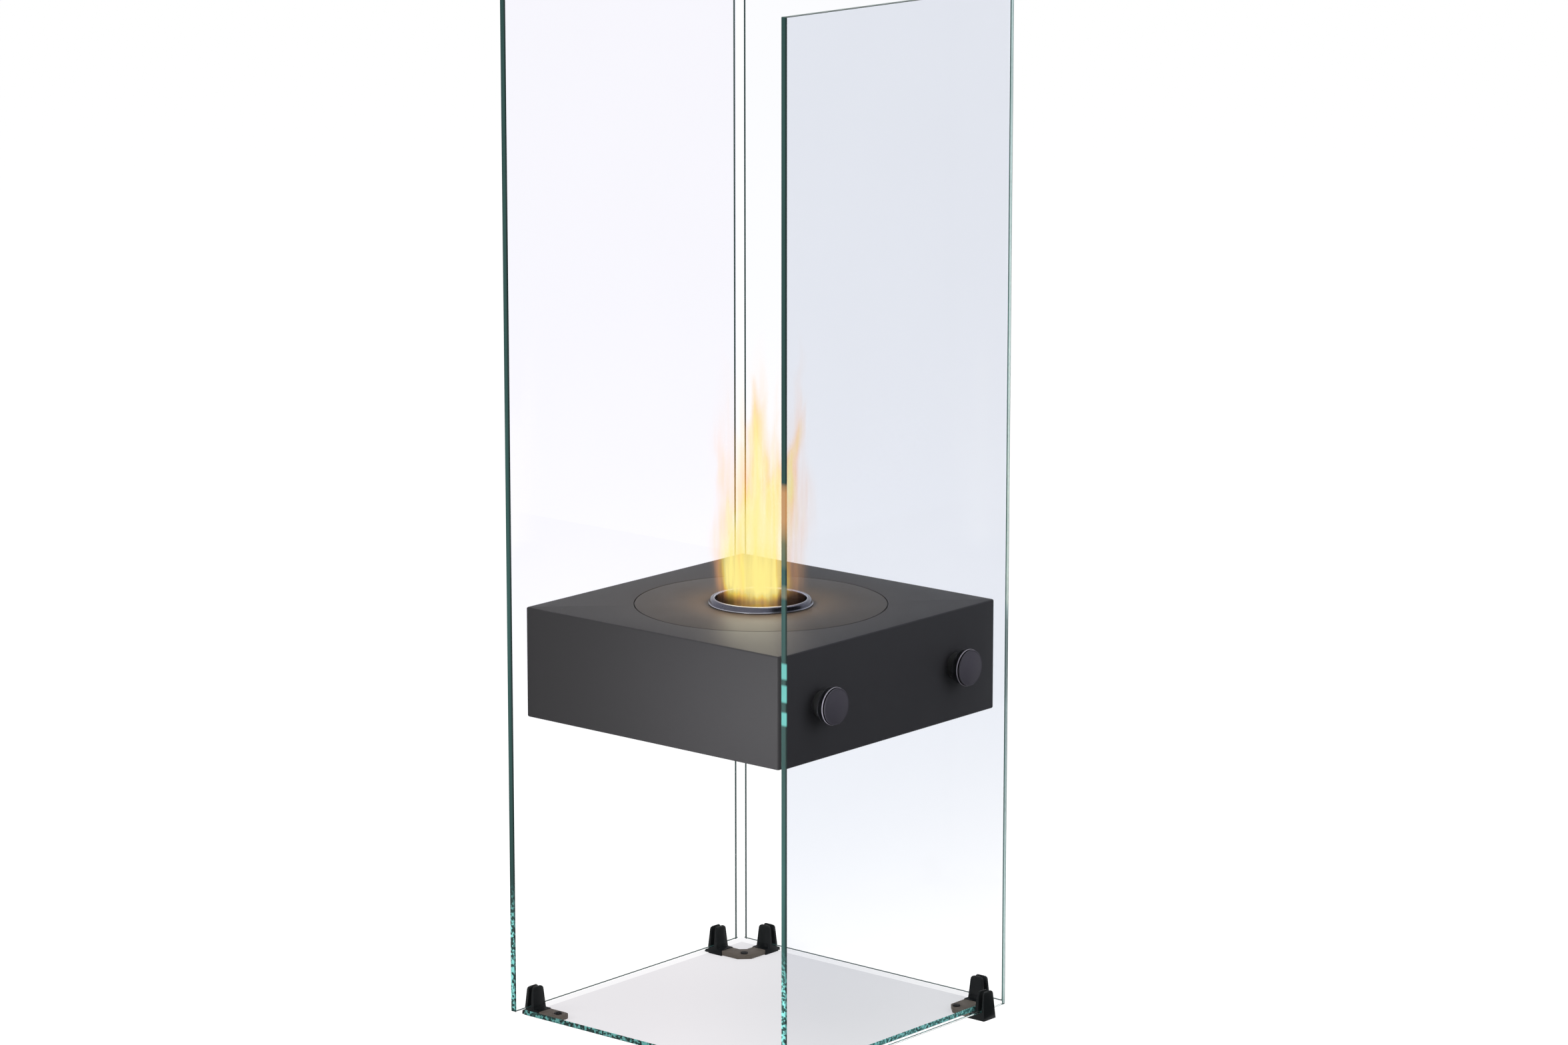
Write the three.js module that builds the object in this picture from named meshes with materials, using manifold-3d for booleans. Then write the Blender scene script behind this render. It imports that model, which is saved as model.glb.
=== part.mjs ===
// Bioethanol fireplace: a glass tower on moulded shoes, with a steel burner box held between its side panels.
// Units are millimetres, +Z is up and the floor is at Z = 0. The open side faces -Y.
import * as THREE from 'three';
import { mergeVertices } from 'three/addons/utils/BufferGeometryUtils.js';
import Module from 'manifold-3d';

const wasm = await Module();
wasm.setup();

// ---------------------------------------------------------------- driving dimensions

// Clearances
const seatGap = 0.3; // between pieces that rest on or bear against each other
const fitGap = 0.3; // round a piece that slides into a slot, bore or socket

// Glass wall panels
const panelWidth = 394.5;
const panelHeight = 1190;
const panelThickness = 8;
const panelArris = 0.8; // ground edge
const cornerGap = 5.25; // from a panel's end to the next panel's inner face, at an open corner

// Base glass
const baseGlassThickness = 6;
const baseGlassMargin = 9; // from its edge to the panels' inner faces

// Moulded shoes that carry the wall panels
const soleHeight = 10; // floor to the panels' lower edge
const shoeLength = 20.4; // along the panel, at the sole
const shoeTopLength = 17; // along the panel, at the top
const shoeGrip = 24; // how far the jaws reach up the glass
const outerJaw = 3.7;
const outerJawTop = 2.4;
const innerJaw = 4.6;
const innerJawTop = 3;
const jawRounding = 5;
const shoeInset = 35; // from a panel's end to the middle of its shoe
const toeReach = 12; // from the panel's inner face to the tip of the toe
const toeCover = 0.6; // of the toe over the bar in it

// Steel arms and corner brackets under the base glass
const barWidth = 20;
const barThickness = 5.7;
const barLift = 0.6; // above the floor
const barEndRounding = 7;
const armReach = 44; // from the panel's inner face to the arm's tip
const tongueWidth = 12;
const tongueThickness = 2.6;
const tongueLength = 7;
const elbowOuterCut = 12;
const elbowInnerCut = 6;
const bumperRadius = 4.4;
const bumperStemRadius = 2.4;
const bumperHeight = 1.7; // of its head, between bar and glass

// Burner box
const boxClearance = 12.5; // from the box to a side panel
const boxSetBack = 2.75; // of the box's middle behind the tower's middle
const boxHeight = 129;
const boxUnderside = 365; // above the floor
const boxWall = 2;
const boxCornerRadius = 5.5;
const boxEdgeRadius = 1.7;
const boxCoverThickness = 2;
const tabThickness = 3;
const tabMargin = 5; // from a screw's centre to the tab's slanting edge
const screwInset = 14; // from the box wall to a cover screw
const screwRadius = 2;
const screwHeadRadius = 4.5;
const screwHeadHeight = 2.4;

// Standoffs between the box and the side panels
const standoffInset = 78; // from a side panel's end to a standoff's centre
const studRadius = 4;
const headRadius = 21.5;
const headHeight = 5.2;
const gasketRadius = 18;
const gasketThickness = 1.2;
const gasketCollarWall = 1.6; // of its collar in the glass
const spacerRadius = 15;
const innerGasketThickness = 1.2;
const nutRadius = 7.5; // across its corners, halved
const nutHeight = 6.5;
const studTail = 3; // beyond the nut

// Burner
const plateRadius = 144;
const plateThickness = 2;
const plateSeam = 0.6; // round the plate, in the box's top
const ledgeWidth = 8; // of the ledge that the plate rests on
const ledgeThickness = 2;
const ledgeFlange = 4;
const tankClearance = 4; // round the tank's flange, in the ledge
const tankDepth = 86;
const tankWall = 1.5;
const tankFlange = 7;
const tankEdge = 6; // rounded lower edge
const mouthRadius = 51.5;
const rimWall = 1.5;
const rimFoot = 6; // outwards from its collar
const rimHeight = 7;
const rimCollar = 14; // down into the tank
const wickHeight = 28;
const wickMargin = 3; // round it, in the tank

// ---------------------------------------------------------------- derived places

const innerFace = panelWidth / 2 + cornerGap; // centre of the tower to a panel's inner face
const panelMiddle = innerFace + panelThickness / 2;
const slotHalf = panelThickness / 2 + fitGap;
const shoeMiddle = panelWidth / 2 - shoeInset; // centre of the tower to the middle of a shoe
const toeTip = innerFace - toeReach;
const shoeTop = soleHeight + shoeGrip;
const toeHeight = barLift + barThickness + toeCover;
const rearReach = panelMiddle + slotHalf + outerJaw;
const frontReach = panelWidth / 2;
const baseGlassHalf = innerFace - baseGlassMargin;
const baseGlassHeight = barLift + barThickness + bumperHeight; // its underside above the floor
const boxHalf = innerFace - boxClearance;
const boxTop = boxUnderside + boxHeight;
const boxMiddle = boxUnderside + boxHeight / 2;
const standoffPlace = panelWidth / 2 - standoffInset;
const panelHoleRadius = studRadius + fitGap + gasketCollarWall + fitGap;
const plateTop = boxTop;
const plateUnderside = plateTop - plateThickness;
const ledgeTop = plateUnderside - seatGap;
const plateHole = plateRadius + plateSeam;
const ledgeInner = plateRadius - ledgeWidth;
const tankRadius = ledgeInner - tankClearance - tankFlange;
const rimCollarRadius = mouthRadius + rimWall;
const rimRadius = rimCollarRadius + rimFoot;
const tankTop = plateUnderside - seatGap;
const tankBottom = tankTop - tankDepth;

// ---------------------------------------------------------------- materials

function finish(color, roughness, metalness) {
  return new THREE.MeshStandardMaterial({ color, roughness, metalness });
}

function clearGlass() {
  const glass = finish(0xdcebe9, 0.05, 0);
  glass.transparent = true;
  glass.opacity = 0.35;
  return glass;
}

const blackMoulding = () => finish(0x17181a, 0.55, 0);
const greySteel = () => finish(0x77726b, 0.42, 0.9);
const powderCoat = () => finish(0x343337, 0.6, 0.2);
const burnerPlateCoat = () => finish(0x6b6661, 0.5, 0.35);
const polishedSteel = () => finish(0x8f8e92, 0.22, 1);
const brushedSteel = () => finish(0x9a9894, 0.4, 1);
const blackRubber = () => finish(0x0d0d0e, 0.85, 0);
const blackenedSteel = () => finish(0x2f2e33, 0.45, 0.5);
const ceramicFibre = () => finish(0xd8d2c6, 0.95, 0);

// ---------------------------------------------------------------- solids

function toManifold(geometry) {
  const bare = geometry.clone();
  bare.deleteAttribute('normal');
  bare.deleteAttribute('uv');
  const merged = mergeVertices(bare, 1e-4);
  const corners = merged.index.array;
  const triangles = [];
  for (let i = 0; i < corners.length; i += 3) {
    const [a, b, c] = corners.slice(i, i + 3);
    if (a !== b && b !== c && c !== a) triangles.push(a, b, c);
  }
  const vertProperties = new Float32Array(merged.attributes.position.array);
  const triVerts = new Uint32Array(triangles);
  return new wasm.Manifold(new wasm.Mesh({ numProp: 3, vertProperties, triVerts }));
}

function toGeometry(manifold) {
  const mesh = manifold.getMesh();
  const geometry = new THREE.BufferGeometry();
  geometry.setAttribute('position', new THREE.BufferAttribute(new Float32Array(mesh.vertProperties), 3));
  geometry.setIndex(new THREE.BufferAttribute(new Uint32Array(mesh.triVerts), 1));
  const flat = geometry.toNonIndexed();
  flat.computeVertexNormals();
  return flat;
}

function cut(body, tools) {
  let result = body;
  for (const tool of tools) result = result.subtract(toManifold(tool));
  return result;
}

function join(body, pieces) {
  let result = body;
  for (const piece of pieces) result = result.add(toManifold(piece));
  return result;
}

// A box from its lowest corner to its highest.
function block(low, high) {
  const geometry = new THREE.BoxGeometry(high[0] - low[0], high[1] - low[1], high[2] - low[2]);
  geometry.translate((low[0] + high[0]) / 2, (low[1] + high[1]) / 2, (low[2] + high[2]) / 2);
  return geometry;
}

// A profile of [radius, height] pairs turned about Z.
function turned(profile, segments) {
  const points = profile.map(([radius, height]) => new THREE.Vector2(radius, height));
  const geometry = new THREE.LatheGeometry(points, segments);
  geometry.rotateX(Math.PI / 2);
  return geometry;
}

// A closed ring: the profile runs anticlockwise and returns to its first point.
function ring(profile, segments) {
  return turned([...profile, profile[0]], segments);
}

function rod(radius, bottom, top, segments) {
  return turned([[0, bottom], [radius, bottom], [radius, top], [0, top]], segments);
}

function washer(inner, outer, bottom, top, segments) {
  return ring([[inner, bottom], [outer, bottom], [outer, top], [inner, top]], segments);
}

function outline(points) {
  const shape = new THREE.Shape();
  points.forEach(([x, y], i) => (i === 0 ? shape.moveTo(x, y) : shape.lineTo(x, y)));
  shape.closePath();
  return shape;
}

function roundedSquare(half, radius) {
  const shape = new THREE.Shape();
  const flat = half - radius;
  shape.moveTo(-flat, -half);
  shape.lineTo(flat, -half);
  shape.absarc(flat, -flat, radius, -Math.PI / 2, 0);
  shape.lineTo(half, flat);
  shape.absarc(flat, flat, radius, 0, Math.PI / 2);
  shape.lineTo(-flat, half);
  shape.absarc(-flat, flat, radius, Math.PI / 2, Math.PI);
  shape.lineTo(-half, -flat);
  shape.absarc(-flat, -flat, radius, Math.PI, Math.PI * 1.5);
  return shape;
}

// A shape in the XY plane given height along Z.
function raised(shape, bottom, top, curveSegments = 4) {
  const geometry = new THREE.ExtrudeGeometry(shape, { depth: top - bottom, bevelEnabled: false, curveSegments });
  geometry.translate(0, 0, bottom);
  return geometry;
}

// A plate with a broken edge all round: the shape is its middle outline, drawn in by the edge.
function edgedPlate(shape, thickness, edge, curveSegments, edgeSegments = 1) {
  const geometry = new THREE.ExtrudeGeometry(shape, {
    depth: thickness - 2 * edge,
    bevelEnabled: true,
    bevelThickness: edge,
    bevelSize: edge,
    bevelSegments: edgeSegments,
    curveSegments,
  });
  geometry.translate(0, 0, edge);
  return geometry;
}

const model = new THREE.Group();
model.position.y = (frontReach - rearReach) / 2;

function place(parent, name, geometry, material) {
  const mesh = new THREE.Mesh(geometry, material);
  mesh.name = name;
  parent.add(mesh);
  return mesh;
}

const sides = [['left', -1], ['right', 1]];
const depths = [['front', -1], ['rear', 1]];

// ---------------------------------------------------------------- glass

// A wall panel lies in XY here, with its width along X, its height along Y and its inner face at Z = 0.
function wallPanel(withHoles) {
  const halfWidth = panelWidth / 2 - panelArris;
  const low = soleHeight + panelArris;
  const high = soleHeight + panelHeight - panelArris;
  const shape = outline([[-halfWidth, low], [halfWidth, low], [halfWidth, high], [-halfWidth, high]]);
  if (withHoles) {
    for (const [, side] of sides) {
      const hole = new THREE.Path();
      hole.absarc(side * standoffPlace, boxMiddle, panelHoleRadius + panelArris, 0, Math.PI * 2);
      shape.holes.push(hole);
    }
  }
  return edgedPlate(shape, panelThickness, panelArris, 12);
}

// The turn about Z that brings a piece from the +X side of the tower to the side it belongs to.
const towards = { right: 0, rear: Math.PI / 2, left: Math.PI };

for (const wall of ['left', 'right', 'rear']) {
  const group = new THREE.Group();
  group.rotation.z = towards[wall];
  const panel = wallPanel(wall !== 'rear');
  panel.rotateX(Math.PI / 2);
  panel.rotateZ(Math.PI / 2);
  panel.translate(innerFace, 0, 0);
  place(group, `glass_panel_${wall}`, panel, clearGlass());
  model.add(group);
}

function baseGlass() {
  const half = baseGlassHalf - panelArris;
  const shape = outline([[-half, -half], [half, -half], [half, half], [-half, half]]);
  const plate = edgedPlate(shape, baseGlassThickness, panelArris, 1);
  plate.translate(0, 0, baseGlassHeight);
  return plate;
}

place(model, 'base_glass', baseGlass(), clearGlass());

// ---------------------------------------------------------------- shoes

// The shoe's section across the glass: two jaws, the slot between them and a toe on the inner side.
function shoeSection() {
  const shape = new THREE.Shape();
  const round = jawRounding / 2;
  const glassMiddle = panelMiddle;
  const outerBase = glassMiddle + slotHalf + outerJaw;
  const outerTop = glassMiddle + slotHalf + outerJawTop;
  const innerBase = glassMiddle - slotHalf - innerJaw;
  const innerTop = glassMiddle - slotHalf - innerJawTop;
  shape.moveTo(toeTip, 0);
  shape.lineTo(outerBase, 0);
  shape.lineTo(outerTop, shoeTop - round);
  shape.quadraticCurveTo(outerTop, shoeTop, glassMiddle + slotHalf, shoeTop);
  shape.lineTo(glassMiddle + slotHalf, soleHeight - seatGap);
  shape.lineTo(glassMiddle - slotHalf, soleHeight - seatGap);
  shape.lineTo(glassMiddle - slotHalf, shoeTop);
  shape.quadraticCurveTo(innerTop, shoeTop, innerTop, shoeTop - round);
  shape.lineTo(innerBase, toeHeight);
  shape.lineTo(toeTip, toeHeight);
  shape.closePath();
  return shape;
}

// The shoe's outline along the glass: it narrows upwards to rounded shoulders.
function shoeSide() {
  const shape = new THREE.Shape();
  const base = shoeLength / 2;
  const top = shoeTopLength / 2;
  shape.moveTo(-base, 0);
  shape.lineTo(base, 0);
  shape.lineTo(top, shoeTop - jawRounding);
  shape.quadraticCurveTo(top, shoeTop, top - jawRounding, shoeTop);
  shape.lineTo(jawRounding - top, shoeTop);
  shape.quadraticCurveTo(-top, shoeTop, -top, shoeTop - jawRounding);
  shape.closePath();
  return shape;
}

const barMiddle = barLift + barThickness / 2;

// A shoe of the +X panel, centred on Y = 0.
function shoe() {
  const across = raised(shoeSection(), -shoeLength / 2, shoeLength / 2);
  across.rotateX(Math.PI / 2);
  const along = raised(shoeSide(), toeTip, rearReach);
  along.rotateX(Math.PI / 2);
  along.rotateZ(Math.PI / 2);
  const socket = block(
    [toeTip - 1, -tongueWidth / 2 - fitGap, barMiddle - tongueThickness / 2 - fitGap],
    [toeTip + tongueLength + fitGap, tongueWidth / 2 + fitGap, barMiddle + tongueThickness / 2 + fitGap],
  );
  return toGeometry(cut(toManifold(across).intersect(toManifold(along)), [socket]));
}

const shoes = [
  ['left_front', 'left', 1],
  ['left_rear', 'left', -1],
  ['right_front', 'right', -1],
  ['right_rear', 'right', 1],
  ['rear_left', 'rear', 1],
  ['rear_right', 'rear', -1],
];

for (const [name, wall, end] of shoes) {
  const group = new THREE.Group();
  group.rotation.z = towards[wall];
  place(group, `shoe_${name}`, shoe(), blackMoulding()).position.y = end * shoeMiddle;
  model.add(group);
}

// ---------------------------------------------------------------- arms and corner brackets

const barEnd = toeTip - seatGap;
const bumperHole = bumperStemRadius + fitGap;

function tongue() {
  const low = [barEnd - 1, -tongueWidth / 2, barMiddle - tongueThickness / 2];
  const high = [toeTip + tongueLength - fitGap, tongueWidth / 2, barMiddle + tongueThickness / 2];
  return block(low, high);
}

// The arm of the +X panel's front shoe: a flat bar with a rounded tip, tongued into the shoe's toe.
function frontArm() {
  const tip = innerFace - armReach;
  const half = barWidth / 2;
  const round = barEndRounding;
  const shape = new THREE.Shape();
  shape.moveTo(barEnd, -half);
  shape.lineTo(barEnd, half);
  shape.lineTo(tip + round, half);
  shape.quadraticCurveTo(tip, half, tip, half - round);
  shape.lineTo(tip, round - half);
  shape.quadraticCurveTo(tip, -half, tip + round, -half);
  shape.closePath();
  const bar = toManifold(raised(shape, barLift, barLift + barThickness));
  const hole = rod(bumperHole, 0, baseGlassHeight, 16);
  hole.translate(tip + half, 0, 0);
  return toGeometry(cut(join(bar, [tongue()]), [hole]));
}

// The rear corner bracket in the +X, +Y corner: two legs to two toes and an elbow cut across at 45 degrees.
function cornerBracket() {
  const near = shoeMiddle - barWidth / 2;
  const far = shoeMiddle + barWidth / 2;
  const shape = outline([
    [barEnd, near],
    [barEnd, far],
    [far + elbowInnerCut, far],
    [far, far + elbowInnerCut],
    [far, barEnd],
    [near, barEnd],
    [near, near + elbowOuterCut],
    [near + elbowOuterCut, near],
  ]);
  const legs = toManifold(raised(shape, barLift, barLift + barThickness));
  const sideTongue = tongue();
  sideTongue.translate(0, shoeMiddle, 0);
  const rearTongue = tongue();
  rearTongue.rotateZ(Math.PI / 2);
  rearTongue.translate(shoeMiddle, 0, 0);
  const hole = rod(bumperHole, 0, baseGlassHeight, 16);
  hole.translate(shoeMiddle, shoeMiddle, 0);
  return toGeometry(cut(join(legs, [sideTongue, rearTongue]), [hole]));
}

function bumper() {
  const barTop = barLift + barThickness;
  return turned([
    [0, barLift],
    [bumperStemRadius, barLift],
    [bumperStemRadius, barTop + seatGap / 2],
    [bumperRadius, barTop + seatGap / 2],
    [bumperRadius, baseGlassHeight - seatGap],
    [bumperRadius - 0.6, baseGlassHeight - seatGap / 2],
    [0, baseGlassHeight - seatGap / 2],
  ], 14);
}

for (const [side, sign] of sides) {
  const arm = place(model, `front_arm_${side}`, frontArm(), greySteel());
  arm.position.y = -shoeMiddle;
  arm.rotation.z = towards[side];
  const bracket = place(model, `corner_bracket_${side}`, cornerBracket(), greySteel());
  bracket.rotation.z = towards[side] / 2;
  const tipX = innerFace - armReach + barWidth / 2;
  place(model, `bumper_front_${side}`, bumper(), blackRubber()).position.set(sign * tipX, -shoeMiddle, 0);
  place(model, `bumper_rear_${side}`, bumper(), blackRubber()).position.set(sign * shoeMiddle, shoeMiddle, 0);
}

// ---------------------------------------------------------------- burner box

const screwPlace = boxHalf - boxWall - screwInset;

// The folded casing: top and four walls in one, with a round opening, a ledge under it and tabs in the lower corners.
function boxCasing() {
  const middle = roundedSquare(boxHalf - boxEdgeRadius, boxCornerRadius - boxEdgeRadius);
  const outside = edgedPlate(middle, boxHeight, boxEdgeRadius, 5, 3);
  outside.translate(0, 0, boxUnderside);
  const inside = roundedSquare(boxHalf - boxWall, boxCornerRadius - boxWall);
  const hollow = raised(inside, boxUnderside - 1, boxTop - boxWall, 5);
  const opening = rod(plateHole, boxTop - boxWall - 1, boxTop + 1, 80);
  const studHoles = [];
  for (const [, depth] of depths) {
    const hole = rod(studRadius + fitGap, -boxHalf - 1, boxHalf + 1, 20);
    hole.rotateY(Math.PI / 2);
    hole.translate(0, depth * standoffPlace - boxSetBack, boxMiddle);
    studHoles.push(hole);
  }
  const flangeInner = plateHole + plateSeam;
  const ledge = ring([
    [ledgeInner, ledgeTop - ledgeThickness],
    [flangeInner + ledgeFlange, ledgeTop - ledgeThickness],
    [flangeInner + ledgeFlange, boxTop - boxWall / 2],
    [flangeInner, boxTop - boxWall / 2],
    [flangeInner, ledgeTop],
    [ledgeInner, ledgeTop],
  ], 80);
  const tabBottom = boxUnderside + boxCoverThickness + seatGap;
  const tabs = [];
  const tabHoles = [];
  for (const [, x] of sides) {
    for (const [, y] of depths) {
      const corner = boxHalf - boxWall / 2;
      const inner = 2 * screwPlace - tabMargin * Math.SQRT2 - (corner - boxWall);
      const cutCorner = boxCornerRadius;
      const points = [
        [inner, corner],
        [inner, corner - boxWall],
        [corner - boxWall, inner],
        [corner, inner],
        [corner, corner - cutCorner],
        [corner - cutCorner, corner],
      ].map(([px, py]) => [px * x, py * y]);
      if (x * y < 0) points.reverse();
      tabs.push(raised(outline(points), tabBottom, tabBottom + tabThickness));
      const hole = rod(screwRadius + fitGap, tabBottom - 1, tabBottom + tabThickness + 1, 14);
      hole.translate(x * screwPlace, y * screwPlace, 0);
      tabHoles.push(hole);
    }
  }
  const shell = cut(toManifold(outside), [hollow, opening, ...studHoles]);
  return toGeometry(cut(join(shell, [ledge, ...tabs]), tabHoles));
}

function boxCover() {
  const shape = roundedSquare(boxHalf - boxWall - fitGap, boxCornerRadius - boxWall);
  for (const [, x] of sides) {
    for (const [, y] of depths) {
      const hole = new THREE.Path();
      hole.absarc(x * screwPlace, y * screwPlace, screwRadius + fitGap, 0, Math.PI * 2);
      shape.holes.push(hole);
    }
  }
  return raised(shape, boxUnderside, boxUnderside + boxCoverThickness, 5);
}

function coverScrew() {
  const headTop = -seatGap;
  return turned([
    [0, headTop - screwHeadHeight],
    [screwHeadRadius * 0.6, headTop - screwHeadHeight],
    [screwHeadRadius, headTop - screwHeadHeight * 0.4],
    [screwHeadRadius, headTop],
    [screwRadius, headTop],
    [screwRadius, boxCoverThickness + tabThickness + 2],
    [0, boxCoverThickness + tabThickness + 2],
  ], 12);
}

// The box and the burner in it sit a little behind the tower's middle.
const boxGroup = new THREE.Group();
boxGroup.position.y = boxSetBack;
model.add(boxGroup);

place(boxGroup, 'box_casing', boxCasing(), powderCoat());
place(boxGroup, 'box_cover', boxCover(), powderCoat());
for (const [side, x] of sides) {
  for (const [depth, y] of depths) {
    const screw = place(boxGroup, `cover_screw_${depth}_${side}`, coverScrew(), blackenedSteel());
    screw.position.set(x * screwPlace, y * screwPlace, boxUnderside);
  }
}

// ---------------------------------------------------------------- standoffs

// Heights along a standoff's axis, from the box wall's outer face outwards.
const glassNear = boxClearance;
const glassFar = glassNear + panelThickness;
const gasketNear = glassFar + seatGap;
const gasketFar = gasketNear + gasketThickness;
const headNear = gasketFar + seatGap;
const headFar = headNear + headHeight;
const innerGasketFar = glassNear - seatGap;
const innerGasketNear = innerGasketFar - innerGasketThickness;
const nutFar = -boxWall - seatGap;
const nutNear = nutFar - nutHeight;

// A cap in two steps with a groove between, and the stud that goes through glass, spacer and box wall.
function standoffHead() {
  const grooveLow = headNear + headHeight * 0.42;
  const grooveHigh = grooveLow + 0.9;
  return turned([
    [0, nutNear - studTail],
    [studRadius - 0.8, nutNear - studTail],
    [studRadius, nutNear - studTail + 0.8],
    [studRadius, headNear],
    [headRadius - 0.6, headNear],
    [headRadius, headNear + 0.6],
    [headRadius, grooveLow],
    [headRadius - 1.6, grooveLow],
    [headRadius - 1.6, grooveHigh],
    [headRadius - 0.4, grooveHigh],
    [headRadius - 0.4, headFar - 1],
    [headRadius - 1.4, headFar],
    [0, headFar],
  ], 30);
}

// The outer gasket's collar keeps the stud off the glass.
function standoffGasket() {
  const bore = studRadius + fitGap;
  const collar = panelHoleRadius - fitGap;
  return ring([
    [bore, glassNear + seatGap],
    [collar, glassNear + seatGap],
    [collar, gasketNear],
    [gasketRadius, gasketNear],
    [gasketRadius, gasketFar],
    [bore, gasketFar],
  ], 24);
}

function standoffSpacer() {
  return washer(studRadius + fitGap, spacerRadius, seatGap, innerGasketNear - seatGap, 24);
}

function innerGasket() {
  return washer(studRadius + fitGap, spacerRadius - 1, innerGasketNear, innerGasketFar, 24);
}

// The nut's bore has six sides like its outside, so its flats are kept clear of the stud.
function hexNut() {
  const bore = (studRadius + fitGap) / Math.cos(Math.PI / 6);
  return washer(bore, nutRadius, nutNear, nutFar, 6);
}

for (const [side, sign] of sides) {
  for (const [depth, end] of depths) {
    const group = new THREE.Group();
    group.position.set(sign * boxHalf, end * standoffPlace, boxMiddle);
    group.rotation.y = (sign * Math.PI) / 2;
    place(group, `standoff_head_${side}_${depth}`, standoffHead(), blackenedSteel());
    place(group, `standoff_gasket_${side}_${depth}`, standoffGasket(), blackRubber());
    place(group, `standoff_inner_gasket_${side}_${depth}`, innerGasket(), blackRubber());
    place(group, `standoff_spacer_${side}_${depth}`, standoffSpacer(), blackenedSteel());
    place(group, `standoff_nut_${side}_${depth}`, hexNut(), brushedSteel());
    model.add(group);
  }
}

// ---------------------------------------------------------------- burner

function burnerPlate() {
  const edge = 0.4;
  const inner = rimCollarRadius + fitGap;
  return ring([
    [inner, plateUnderside],
    [plateRadius, plateUnderside],
    [plateRadius, plateTop - edge],
    [plateRadius - edge, plateTop],
    [inner, plateTop],
  ], 80);
}

// The raised steel rim: a foot on the plate, a sloping band and a rolled lip over the mouth.
function burnerRim() {
  const foot = plateTop + seatGap;
  const top = plateTop + rimHeight;
  return ring([
    [mouthRadius, plateTop - rimCollar],
    [rimCollarRadius, plateTop - rimCollar],
    [rimCollarRadius, foot],
    [rimRadius, foot],
    [rimRadius, foot + 0.9],
    [rimRadius - 1, foot + 1.5],
    [rimRadius - 2, top - 1.9],
    [rimRadius - 3.2, top - 0.5],
    [rimRadius - 4.8, top],
    [mouthRadius + 1, top - 0.3],
    [mouthRadius, top - 1.2],
  ], 60);
}

function burnerTank() {
  const inner = tankRadius - tankWall;
  const points = [[0, tankBottom]];
  const steps = 3;
  for (let i = 0; i <= steps; i += 1) {
    const angle = (i / steps) * (Math.PI / 2);
    points.push([
      tankRadius - tankEdge + tankEdge * Math.sin(angle),
      tankBottom + tankEdge - tankEdge * Math.cos(angle),
    ]);
  }
  points.push([tankRadius, tankTop - tankWall]);
  points.push([tankRadius + tankFlange, tankTop - tankWall]);
  points.push([tankRadius + tankFlange, tankTop]);
  points.push([inner, tankTop]);
  const innerEdge = tankEdge - tankWall;
  for (let i = steps; i >= 0; i -= 1) {
    const angle = (i / steps) * (Math.PI / 2);
    points.push([
      inner - innerEdge + innerEdge * Math.sin(angle),
      tankBottom + tankWall + innerEdge - innerEdge * Math.cos(angle),
    ]);
  }
  points.push([0, tankBottom + tankWall]);
  return turned(points, 56);
}

// The absorbent pad that holds the fuel at the bottom of the tank.
function burnerWick() {
  const bottom = tankBottom + tankWall + seatGap;
  const radius = tankRadius - tankWall - wickMargin;
  const edge = tankEdge - tankWall;
  return turned([
    [0, bottom],
    [radius - edge, bottom],
    [radius, bottom + edge],
    [radius, bottom + wickHeight - edge],
    [radius - edge, bottom + wickHeight],
    [0, bottom + wickHeight],
  ], 40);
}

place(boxGroup, 'burner_plate', burnerPlate(), burnerPlateCoat());
place(boxGroup, 'burner_rim', burnerRim(), polishedSteel());
place(boxGroup, 'burner_tank', burnerTank(), brushedSteel());
place(boxGroup, 'burner_wick', burnerWick(), ceramicFibre());

export default model;
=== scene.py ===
"""Bioethanol fireplace: the dressed model of a glass tower with a coated burner box and a round burner.

Metres, +Z up, the open side faces -Y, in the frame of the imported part.
"""
import math

import bmesh
import bpy
from mathutils import Matrix, Vector


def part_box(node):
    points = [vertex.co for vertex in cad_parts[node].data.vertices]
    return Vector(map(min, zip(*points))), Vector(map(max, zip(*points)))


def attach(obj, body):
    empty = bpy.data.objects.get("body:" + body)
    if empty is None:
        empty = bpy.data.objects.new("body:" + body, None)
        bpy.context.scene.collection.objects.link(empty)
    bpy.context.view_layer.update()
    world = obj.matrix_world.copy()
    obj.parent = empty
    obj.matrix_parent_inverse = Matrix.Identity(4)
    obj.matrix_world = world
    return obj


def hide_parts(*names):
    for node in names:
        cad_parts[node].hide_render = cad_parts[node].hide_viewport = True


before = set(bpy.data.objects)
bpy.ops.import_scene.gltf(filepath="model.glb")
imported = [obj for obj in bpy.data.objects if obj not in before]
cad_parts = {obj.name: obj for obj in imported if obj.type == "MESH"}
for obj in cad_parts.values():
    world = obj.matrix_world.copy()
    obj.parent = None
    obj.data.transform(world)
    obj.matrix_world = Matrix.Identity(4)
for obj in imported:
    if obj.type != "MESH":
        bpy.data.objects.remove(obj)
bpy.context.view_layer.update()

MM = 0.001
SHARP = math.radians(38)
VIEW_TURN = 40.385  # degrees about Z, of the photo's camera

# ---------------------------------------------------------------- sizes in millimetres

seat_gap = 0.3

glass_arris = 0.5
hole_radius = 6.2
hole_steps = 40
far_line = (-0.5, 3.7)  # across a far end's thickness, out from its middle
whole_end = (-9, 9)
rear_line = (-2.4, 2.4)
foot_line = (-9, 1.6)

shoe_easing = 0.7
shoe_flare = 0.09  # share by which a shoe widens at its foot
strip_easing = 0.45

case_corner = 3.3
case_edge = 1.9
case_wall = 2.0
plate_seam = 0.9
ledge_width = 8.0
ledge_drop = 2.3
ledge_thickness = 2.0
ledge_flange = 4.0
flange_drop = 1.5

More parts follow.
